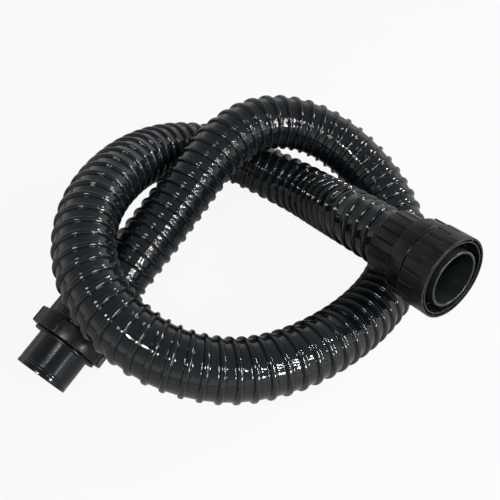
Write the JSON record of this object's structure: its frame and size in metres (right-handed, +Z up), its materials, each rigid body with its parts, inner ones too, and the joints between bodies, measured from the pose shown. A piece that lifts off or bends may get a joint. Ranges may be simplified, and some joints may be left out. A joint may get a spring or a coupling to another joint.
{
  "type": "vacuum hose",
  "caption": "Spiral-ribbed suction hose laid in a loose overhand knot, with a swivelling plain spigot at one end and a sleeved swivel coupling at the other",
  "frame": {"origin": "on the floor under the middle of the two end fittings' box", "axes": "+Z up; +X is the way the coupling points, seen from above; +Y is the long side of the two fittings' box"},
  "size_m": [0.3349, 0.4059, 0.1386],
  "materials": {
    "hose": "glossy black vinyl",
    "cuff": "satin black moulded plastic",
    "collar": "satin black moulded plastic",
    "tube": "smooth black moulded plastic",
    "sleeve": "satin black moulded plastic",
    "seal": "black rubber",
    "slip": "pale low-friction plastic",
    "steel": "spring steel"
  },
  "bodies": {
    "hose_body": {"hose": "hose", "coupling_cuff": "cuff", "coupling_hose_seal": "seal", "coupling_o_ring": "seal", "spigot_cuff": "cuff", "spigot_hose_seal": "seal", "spigot_o_ring": "seal"},
    "coupling_ring": {"coupling_collar": "collar", "coupling_slip_ring": "slip"},
    "coupling_swivel_tube": {"coupling_tube": "tube", "coupling_snap_ring": "steel"},
    "coupling_shell": {"coupling_sleeve": "sleeve", "coupling_gasket": "seal"},
    "spigot_ring": {"spigot_collar": "collar", "spigot_slip_ring": "slip"},
    "spigot_swivel_tube": {"spigot_tube": "tube", "spigot_flange": "tube"}
  },
  "joints": [
    {"name": "coupling_swivel", "type": "hinge", "parent": "hose_body", "child": "coupling_swivel_tube", "pos_m": [0.06, 0.1358, 0.0915], "axis": [0.9703, 0, 0.2419], "continuous": true},
    {"name": "sleeve_turn", "type": "hinge", "parent": "coupling_swivel_tube", "child": "coupling_shell", "pos_m": [0.08911, 0.1358, 0.09876], "axis": [0.9703, 0, 0.2419], "continuous": true},
    {"name": "coupling_collar_turn", "type": "hinge", "parent": "hose_body", "child": "coupling_ring", "pos_m": [0.0697, 0.1358, 0.09392], "axis": [0.9703, 0, 0.2419], "range_deg": [0, 90]},
    {"name": "spigot_swivel", "type": "hinge", "parent": "hose_body", "child": "spigot_swivel_tube", "pos_m": [-0.0812, -0.113, 0.0395], "axis": [0.2771, -0.9295, -0.2436], "continuous": true},
    {"name": "spigot_collar_turn", "type": "hinge", "parent": "hose_body", "child": "spigot_ring", "pos_m": [-0.07843, -0.1223, 0.03706], "axis": [0.2771, -0.9295, -0.2436], "range_deg": [0, 90]}
  ]
}
